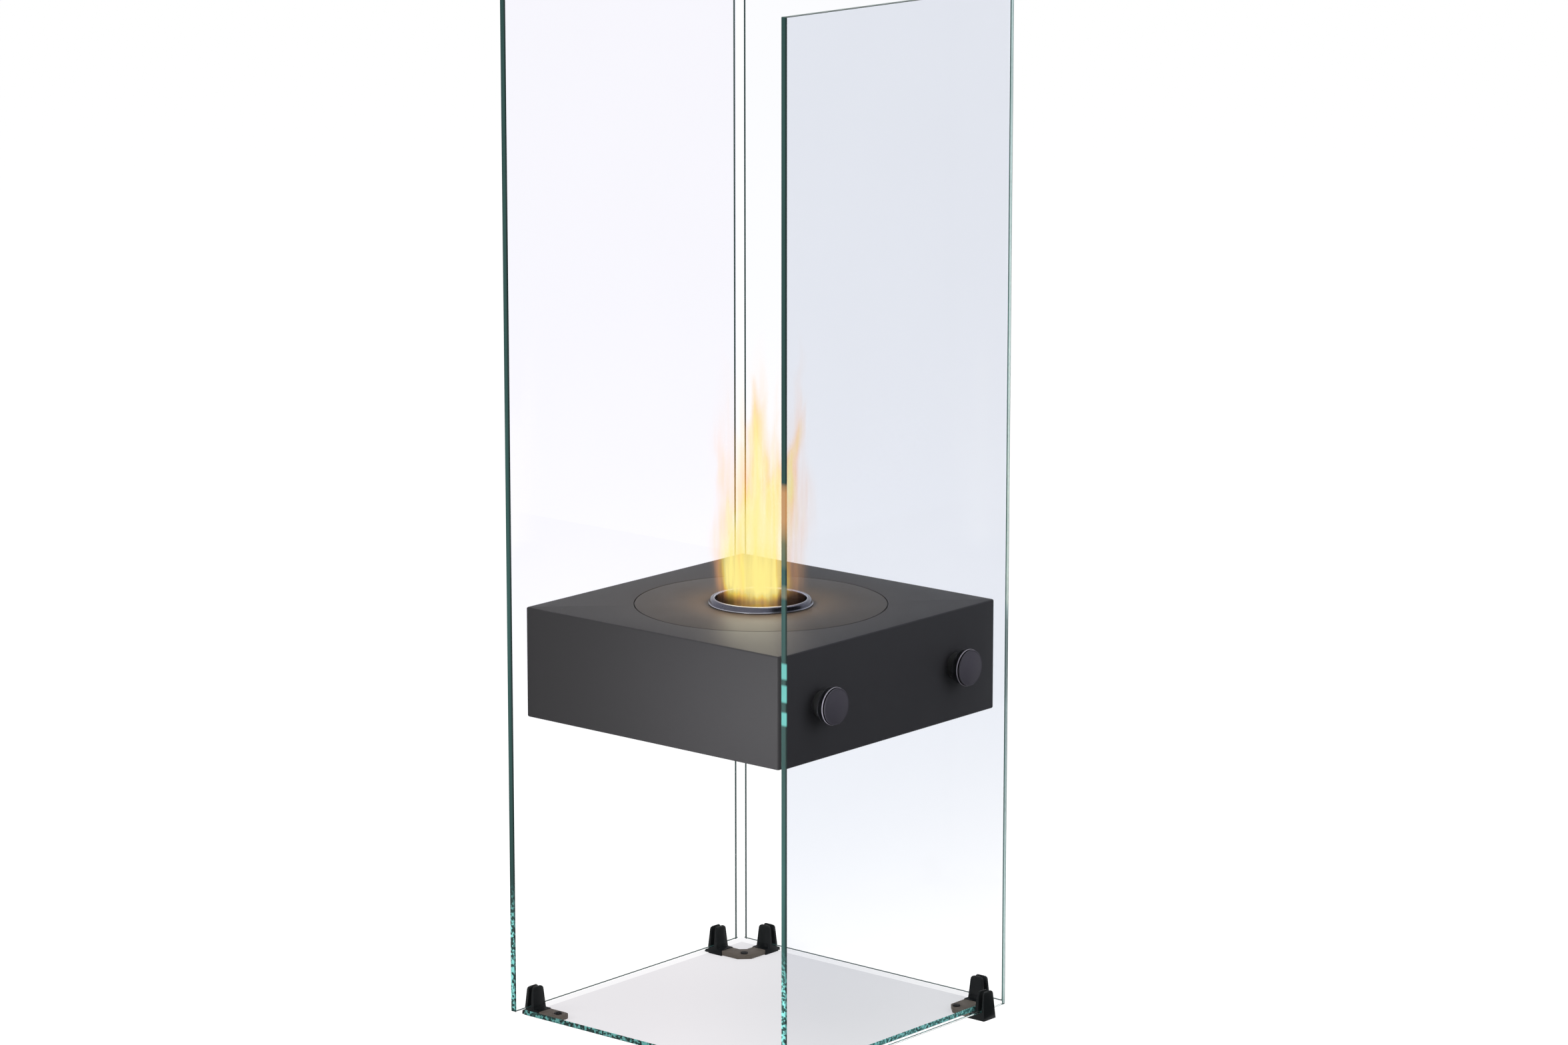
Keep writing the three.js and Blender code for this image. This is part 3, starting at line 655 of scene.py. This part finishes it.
glass_sheet("clear_base", "base_glass", [], base_clear, base_edge, "base_glass",
            [(way, whole_end, base_rim_clear, base_rim_clear) for way in (LEFT, REAR)]
            + [(RIGHT, whole_end, base_edge_right_painted_light, base_edge_right_painted_light)])


# ---------------------------------------------------------------- shoes and steel strips

for name in ("left_front", "left_rear", "right_front", "right_rear", "rear_left", "rear_right"):
    shoe = softened(f"shoe_{name}", f"moulded_shoe_{name}", shoe_easing, [shoe_black], shoe_flare)
    settle(shoe, "tower", "shoe_plastic", f"shoe_{name}")
for side in ("left", "right"):
    for kind in ("front_arm", "corner_bracket"):
        strip = softened(f"{kind}_{side}", f"steel_{kind}_{side}", strip_easing, [bracket_grey])
        settle(strip, "tower", "bracket_steel", f"{kind}_{side}")


# ---------------------------------------------------------------- burner box

def box_casing():
    low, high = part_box("box_casing")
    bm = rounded_block(low, high, case_corner, case_edge, 12, 5)
    caps = [f for f in bm.faces if abs(f.normal.z) > 0.999]
    bottom = min(caps, key=lambda face: face.calc_center_median().z)
    top = max(caps, key=lambda face: face.calc_center_median().z)
    rim = list(top.edges)
    bmesh.ops.delete(bm, geom=[bottom, top], context="FACES_ONLY")
    hole = bmesh.ops.create_circle(bm, cap_ends=False, segments=160, radius=PLATE_RADIUS + plate_seam * MM,
                                   matrix=Matrix.Translation((AXIS.x, AXIS.y, high.z)))
    round_edges = list({edge for vert in hole["verts"] for edge in vert.link_edges})
    bmesh.ops.triangle_fill(bm, edges=rim + round_edges, use_beauty=True, use_dissolve=False)
    bmesh.ops.recalc_face_normals(bm, faces=bm.faces[:])
    outward = sum(f.normal.z * f.calc_area() for f in bm.faces if abs(f.normal.z) > 0.999)
    if outward < 0:
        bmesh.ops.reverse_faces(bm, faces=bm.faces[:])
    bmesh.ops.solidify(bm, geom=bm.faces[:], thickness=case_wall * MM)
    return mesh_piece(bm, "powder_coated_casing", [box_charcoal])


def casing_ledge():
    """The ring under the casing's opening, which the burner's plate rests on."""
    top = PLATE_TOP / MM - ledge_drop
    inner = PLATE_RADIUS / MM - ledge_width
    outer = PLATE_RADIUS / MM + 2 * plate_seam + ledge_flange
    flange_top = PLATE_TOP / MM - flange_drop
    bm = turned([(inner, top - ledge_thickness), (outer, top - ledge_thickness), (outer, flange_top),
                 (outer - ledge_flange, flange_top), (outer - ledge_flange, top), (inner, top)],
                128, closed=True)
    moved(bm, Matrix.Translation((AXIS.x, AXIS.y, 0)))
    return mesh_piece(bm, "casing_ledge", [box_charcoal])


settle(box_casing(), "tower", "powder_coat", "box_casing")
settle(casing_ledge(), "tower", "powder_coat", "box_casing")


# ---------------------------------------------------------------- standoffs

def standoff_frame(side, depth):
    """From a standoff's own axis, measured out from the box wall, to its place."""
    low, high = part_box(f"standoff_head_{side}_{depth}")
    sign = 1 if side == "right" else -1
    case_low, case_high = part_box("box_casing")
    wall = case_high.x if sign > 0 else case_low.x
    centre = Vector((wall, (low.y + high.y) / 2, (low.z + high.z) / 2))
    return Matrix.Translation(centre) @ Matrix.Rotation(sign * math.pi / 2, 4, "Y")


def cap_profile():
    """A cap with a front disc set into it, a groove round its side and the stud behind."""
    near = gasket_end + seat_gap
    far = near + cap_height
    return [(0, -11.8), (3.2, -11.8), (4, -11), (4, near),
            (20.9, near), (21.5, near + 0.6), (21.5, near + 1.8), (21.2, near + 2.1),
            (19.5, near + 2.1), (19.5, near + 3.3), (20.6, near + 3.4), (20.9, near + 3.6),
            (20.9, far - 0.7), (20.2, far), (19.4, far), (19.2, far - 0.2), (19.0, far), (0, far)]


def standoff_cap(name, stand):
    """The cap, with a painted highlight round its back edge and painted shade in its groove."""
    edge_end, edge_radius = 24.45, 20.95
    groove_start, groove_end, groove_radius = 24, 25.8, 19.3
    cap = turned(cap_profile(), 72)
    # faces round the back edge take the painted highlight, faces in the groove the painted shade
    for face in cap.faces:
        centre = face.calc_center_median() / MM
        radius = math.hypot(centre.x, centre.y)
        if centre.z < edge_end and radius > edge_radius:
            face.material_index = 1
        elif groove_start < centre.z < groove_end and groove_radius < radius < edge_radius:
            face.material_index = 2
    return mesh_piece(moved(cap, stand), name, [head_black, head_painted_highlight, painted_shade_black], sharp=math.radians(50))


def standoff_ring(name, stand, material, profile, rounding):
    ring = turned(profile, 64, closed=True, rounding=rounding)
    return mesh_piece(moved(ring, stand), name, [material])


def washer(inner, outer, near, far):
    return [(inner, near), (outer, near), (outer, far), (inner, far)]


gasket_profile = [(stud_bore, collar_start), (collar_radius, collar_start), (collar_radius, gasket_start),
                  (gasket_radius, gasket_start), (gasket_radius, gasket_end), (stud_bore, gasket_end)]
spacer_profile = washer(spacer_bore, spacer_radius, seat_gap, spacer_end)
for side in ("left", "right"):
    for depth in ("front", "rear"):
        stand = standoff_frame(side, depth)
        settle(standoff_cap(f"cap_{side}_{depth}", stand), "tower",
               "black_steel", f"standoff_head_{side}_{depth}")
        gasket = standoff_ring(f"seal_{side}_{depth}", stand, rubber_black, gasket_profile, {3: 0.5, 4: 0.5})
        settle(gasket, "tower", "rubber", f"standoff_gasket_{side}_{depth}")
        ends = [(abs(corner.x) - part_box("box_casing")[1].x) / MM
                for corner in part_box(f"standoff_inner_gasket_{side}_{depth}")]
        inner_gasket = standoff_ring(f"inner_seal_{side}_{depth}", stand, rubber_black,
                                     washer(stud_bore, inner_gasket_radius, min(ends), max(ends)),
                                     {1: 0.4, 2: 0.4})
        settle(inner_gasket, "tower", "rubber", f"standoff_inner_gasket_{side}_{depth}")
        spacer = standoff_ring(f"spacer_{side}_{depth}", stand, spacer_steel, spacer_profile,
                               {1: 0.6, 2: 0.6})
        settle(spacer, "tower", "black_steel", f"standoff_spacer_{side}_{depth}")


# ---------------------------------------------------------------- burner

def on_axis(bm):
    return moved(bm, Matrix.Translation((AXIS.x, AXIS.y, PLATE_TOP)))


def radius_and_height(face):
    """Of the face's middle, from the axis and the plate's top, in millimetres."""
    centre = (face.calc_center_median() - Vector((AXIS.x, AXIS.y, PLATE_TOP))) / MM
    return math.hypot(centre.x, centre.y), centre.z


def coated_plate():
    """The plate, with painted shade on its edge in the seam round it."""
    painted_shade_start = plate_radius - 0.6
    plate = on_axis(turned([
        (plate_bore, -plate_thickness), (plate_radius, -plate_thickness), (plate_radius, 0), (plate_bore, 0),
    ], 160, closed=True, rounding={2: 0.45, 3: 0.2}))
    # faces at the plate's edge take the painted shade
    for face in plate.faces:
        radius, _ = radius_and_height(face)
        if radius > painted_shade_start:
            face.material_index = 1
    return mesh_piece(plate, "coated_plate", [plate_grey, painted_shade_black])


def rolled_rim():
    """The rim, with painted highlights as lighter steel at its foot and at its inner lip."""
    foot_radius, foot_height = 57.6, 1.5
    lip_radius, lip_height = 53.3, rim_height - 1.0
    rim = on_axis(turned([
        (mouth_radius, -14), (collar_outer, -14), (collar_outer, 0.3), (rim_radius, 0.3), (rim_radius, 1.2),
        (58, 2.0), (57.2, 4.9), (55.6, rim_height), (52.4, rim_height), (mouth_radius, 5.6),
    ], 128, closed=True, rounding={3: 0.35, 4: 0.5, 5: 0.8, 6: 1.4, 7: 1.3, 8: 0.5, 9: 0.6}))
    for face in rim.faces:
        # faces at the foot and the inner lip take the painted highlight
        radius, height = radius_and_height(face)
        if radius > foot_radius and height < foot_height or radius < lip_radius and height > lip_height:
            face.material_index = 1
    return mesh_piece(rim, "rolled_rim", [rim_steel, rim_painted_highlight_steel], sharp=math.radians(60))


def fuel_tank():
    low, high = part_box("burner_tank")
    top = (high.z - PLATE_TOP) / MM
    base = top - (high.z - low.z) / MM
    inner = tank_radius - tank_wall
    tank = on_axis(turned([
        (0, base), (tank_radius, base), (tank_radius, top - tank_wall), (tank_flange, top - tank_wall),
        (tank_flange, top), (inner, top), (inner, base + tank_wall), (0, base + tank_wall),
    ], 128, rounding={1: 6, 6: 4.5}))
    return mesh_piece(tank, "fuel_tank", [tank_steel])


settle(coated_plate(), "burner", "plate_coat", "burner_plate")
settle(rolled_rim(), "burner", "rim_steel", "burner_rim")
settle(fuel_tank(), "burner", "tank_steel", "burner_tank")


# ---------------------------------------------------------------- CAD nodes that keep their shape

finishes = {"standoff_nut": nut_steel, "bumper": rubber_black,
            "box_cover": box_charcoal, "cover_screw": head_black, "burner_wick": wick_fibre}
for name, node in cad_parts.items():
    for start, material in finishes.items():
        if name.startswith(start):
            node.data.materials.clear()
            node.data.materials.append(material)


# ---------------------------------------------------------------- flame

flame_turns = [VIEW_TURN - 90 + 60 * number for number in range(3)]  # the first sheet faces the camera
flame_glow = 1.25
mirrored_glow = 5.0  # of the flame as the glass mirrors it
mirrored_whiteness = 0.6
front_opacity = 1.0
side_opacity = 0.4
seed_step = 3.1
tongues = [
    # middle, lean, half width, top, core, weight
    (-12, 0, 43, 140, 0.3, 0.8),
    (-4, -5, 23, 300, 0.1, 1.0),
    (-20, -8, 22, 235, 0.0, 0.45),
    (-38, -3, 31, 205, 0.0, 0.6),
    (12, 52, 26, 262, 0.0, 0.75),
    (14, 6, 16, 216, 0.1, 0.8),
    (36, 8, 32, 340, 0.0, 0.38),
    (-34, -8, 32, 335, 0.0, 0.22),
    (2, 0, 36, 350, 0.0, 0.3),
]
flame_colours = [(0.0, (0.96, 0.45, 0.18)), (0.25, (0.95, 0.48, 0.12)), (0.5, (0.93, 0.56, 0.1)),
                 (0.75, (0.87, 0.64, 0.12)), (1.0, (0.83, 0.7, 0.23))]
flame_solidity = [(0.0, grey(0)), (0.05, grey(0.05)), (0.15, grey(0.28)), (0.32, grey(0.62)),
                  (0.52, grey(0.76)), (0.75, grey(0.97))]


def flame_material(name, turn, seed, opacity):
    """Glowing gas on an upright sheet: tongues with soft sides, wavering and streaked upwards."""
    material, tree, shader = principled(name, Base_Color=(0, 0, 0, 1), Roughness=1.0, Specular_IOR_Level=0.0)
    x, y, z = axes_of(tree, place_in(tree))
    cos, sin = math.cos(math.radians(turn)), math.sin(math.radians(turn))
    across = calc(tree, "ADD", calc(tree, "MULTIPLY", x, -sin / MM), calc(tree, "MULTIPLY", y, cos / MM))
    across = calc(tree, "SUBTRACT", across, (-AXIS.x * sin + AXIS.y * cos) / MM)
    up = calc(tree, "MULTIPLY", calc(tree, "SUBTRACT", z, PLATE_TOP), 1 / MM)

    def uneven(across_scale, up_scale, offset, detail):
        """Noise about zero, drawn out by its two scales."""
        where = fed(tree, add(tree, "ShaderNodeCombineXYZ"), "Vector", Z=seed + offset,
                    X=calc(tree, "MULTIPLY", across, across_scale), Y=calc(tree, "MULTIPLY", up, up_scale))
        return calc(tree, "SUBTRACT", noise(tree, where, 1, detail), 0.5)

    sway = calc(tree, "ADD", 6, calc(tree, "MULTIPLY", calc(tree, "MAXIMUM", up, 0), 0.16))
    waver = calc(tree, "MULTIPLY", uneven(0.022, 0.013, 0, 1), sway)
    low = fade(tree, up, 95, 10, 0, 0.24)
    swayed = calc(tree, "MULTIPLY", calc(tree, "ADD", across, waver), calc(tree, "ADD", 1, low))
    total = 0
    for middle, lean, width, top, core, weight in tongues:
        tongue = place_group(tree, TONGUE, Across=swayed, Up=up, Middle=middle, Lean=lean, Width=width,
                             Top=top, Core=core, Weight=weight)
        total = calc(tree, "ADD", total, tongue["Density"])
    streaks = calc(tree, "ADD", 1, calc(tree, "MULTIPLY", uneven(0.12, 0.011, 7, 1.5), 1.9))
    streaks = calc(tree, "MULTIPLY", streaks, fade(tree, up, 0, 26, 0.1, 1))
    dense = calc(tree, "MULTIPLY", calc(tree, "MULTIPLY", total, streaks), 0.5, clamp=True)

    outwards = calc(tree, "ABSOLUTE", calc(tree, "ADD", across, 5))
    hue = calc(tree, "ADD", calc(tree, "MULTIPLY", uneven(0.1, 0.016, 15, 2), 1.5), low)
    hue = calc(tree, "SUBTRACT", hue, fade(tree, outwards, 20, 48, 0, 0.28))
    hue = calc(tree, "ADD", hue, calc(tree, "MULTIPLY", dense, 1.7), clamp=True)
    colour = ramp(tree, hue, flame_colours)
    path = add(tree, "ShaderNodeLightPath").outputs
    mirrored = calc(tree, "MULTIPLY", path["Is Glossy Ray"], path["Is Reflection Ray"])
    paler = calc(tree, "MULTIPLY", mirrored, mirrored_whiteness)
    brighter = calc(tree, "MULTIPLY", mirrored, mirrored_glow - flame_glow)
    feed(tree, shader.inputs["Emission Color"], mixed(tree, paler, colour, (1, 1, 1, 1)))
    feed(tree, shader.inputs["Emission Strength"], calc(tree, "ADD", flame_glow, brighter))

    solid = ramp(tree, dense, flame_solidity)
    body = fade(tree, up, 78, 30, 0.68 * opacity, 0.93 * opacity)
    thin = calc(tree, "ADD", 1.04, calc(tree, "MULTIPLY", uneven(0.13, 0.009, 23, 2), 1.5))
    alpha = calc(tree, "MULTIPLY", solid, body)
    feed(tree, shader.inputs["Alpha"], calc(tree, "MULTIPLY", alpha, thin, clamp=True))
    material.surface_render_method = "BLENDED"
    return material


def flame_sheet(name, turn, material):
    """An upright sheet through the burner's axis, narrower in the mouth; turn is where it faces, from +X."""
    cos, sin = math.cos(math.radians(turn)), math.sin(math.radians(turn))
    outline = [(-49, -26), (49, -26), (49, 9), (78, 34), (78, 350), (-78, 350), (-78, 34), (-49, 9)]
    bm = bmesh.new()
    verts = [bm.verts.new((AXIS.x - u * sin * MM, AXIS.y + u * cos * MM, PLATE_TOP + z * MM))
             for u, z in outline]
    bm.faces.new(verts)
    sheet = mesh_piece(bm, name, [material])
    sheet.visible_shadow = False
    return sheet


for number, turn in enumerate(flame_turns):
    name = f"flame_{number}"
    opacity = side_opacity if number else front_opacity
    sheet = flame_sheet(name, turn, flame_material(name, turn, seed_step * number, opacity))
    settle(sheet, "burner", None)


# ---------------------------------------------------------------- room, light and camera

def seen(tree):
    """1 where the camera looks, also through glass or by a mirrored ray, and 0 for the light on things."""
    path = add(tree, "ShaderNodeLightPath").outputs
    direct = calc(tree, "MAXIMUM", path["Is Camera Ray"], path["Is Glossy Ray"])
    return calc(tree, "MAXIMUM", direct, path["Is Transmission Ray"])


def pale_floor():
    bm = bmesh.new()
    bmesh.ops.create_grid(bm, x_segments=1, y_segments=1, size=30)
    material, tree, shader = principled("pale_floor", Base_Color=(*grey(0.3), 1), Roughness=1.0,
                                        Specular_IOR_Level=0.0, Emission_Color=(1, 1, 1, 1))
    feed(tree, shader.inputs["Emission Strength"], calc(tree, "MULTIPLY", seen(tree), 0.82))
    floor = mesh_piece(bm, "floor", [material])


def studio_world():
    world = bpy.data.worlds.new("studio")
    bpy.context.scene.world = world
    world.use_nodes = True
    tree = world.node_tree
    strength = fed(tree, add(tree, "ShaderNodeMapRange"), "Result", Value=seen(tree), To_Min=0.6, To_Max=1.0)
    fed(tree, tree.nodes["Background"], Strength=strength, Color=(1, 1, 1, 1))


def placed_object(data, place):
    thing = bpy.data.objects.new(data.name, data)
    bpy.context.scene.collection.objects.link(thing)
    thing.location = place
    return thing


def soft_light(name, place, target, width, height, watts, mirrored=True):
    data = bpy.data.lights.new(name, "AREA")
    data.shape = "RECTANGLE"
    data.size = width
    data.size_y = height
    data.energy = watts
    lamp = placed_object(data, place)
    lamp.rotation_euler = (Vector(target) - Vector(place)).to_track_quat("-Z", "Y").to_euler()
    lamp.visible_glossy = mirrored


def dark_flag():
    """A dark card behind on the right and over the floor before it, seen only in reflections.

    It takes the shine off the right panel.
    """
    bm = bmesh.new()

    def behind(along, distance, height):
        return bm.verts.new((0.762 * along + 0.648 * distance, -0.648 * along + 0.762 * distance, height))

    low_near, low_far = behind(0.016, 0.45, 0.002), behind(1.4, 0.45, 0.002)
    bm.faces.new((low_near, low_far, behind(1.4, 0.45, 2.2), behind(0.016, 0.45, 2.2)))
    bm.faces.new((low_near, low_far, bm.verts.new((0.217, -0.22, 0.002)), bm.verts.new((0.217, 0.27, 0.002))))
    material, tree, shader = principled("flag_black", Base_Color=(0, 0, 0, 1), Roughness=1.0,
                                        Specular_IOR_Level=0.0)
    reflections = add(tree, "ShaderNodeLightPath").outputs["Glossy Depth"]
    feed(tree, shader.inputs["Alpha"], calc(tree, "MINIMUM", reflections, 1))
    flag = mesh_piece(bm, "dark_flag", [material])
    flag.visible_camera = False
    flag.visible_diffuse = False
    flag.visible_shadow = False


def flame_light():
    data = bpy.data.lights.new("flame_light", "POINT")
    data.energy = 1.0
    data.color = (1.0, 0.62, 0.25)
    data.shadow_soft_size = 0.03
    lamp = placed_object(data, (AXIS.x, AXIS.y, PLATE_TOP + 0.05))
    lamp.visible_glossy = False
    lamp.visible_transmission = False


def photo_camera():
    data = bpy.data.cameras.new("camera")
    data.sensor_width = 36
    data.lens = 119.32
    camera = placed_object(data, (3.7901, -4.41861, 1.8247))
    camera.rotation_euler = (math.radians(78), 0, math.radians(VIEW_TURN))
    bpy.context.scene.camera = camera


pale_floor()
studio_world()
soft_light("key_light", (-1.1, -2.3, 1.5), (0, 0, 0.45), 1.6, 1.2, 30, mirrored=False)
soft_light("top_light", (0.6, 0.8, 3.0), (0, 0, 0.5), 2.0, 2.0, 30)
soft_light("front_strip", (0.12, -0.47, 0.4), (0.17, -0.19, 0.44), 0.12, 0.3, 1.6)
soft_light("side_light", (1.3, 0.15, 0.7), (0.19, 0, 0.42), 0.8, 0.8, 9, mirrored=False)
dark_flag()
flame_light()
photo_camera()

bpy.context.scene.view_settings.view_transform = "Standard"
bpy.context.scene.cycles.transparent_max_bounces = 24
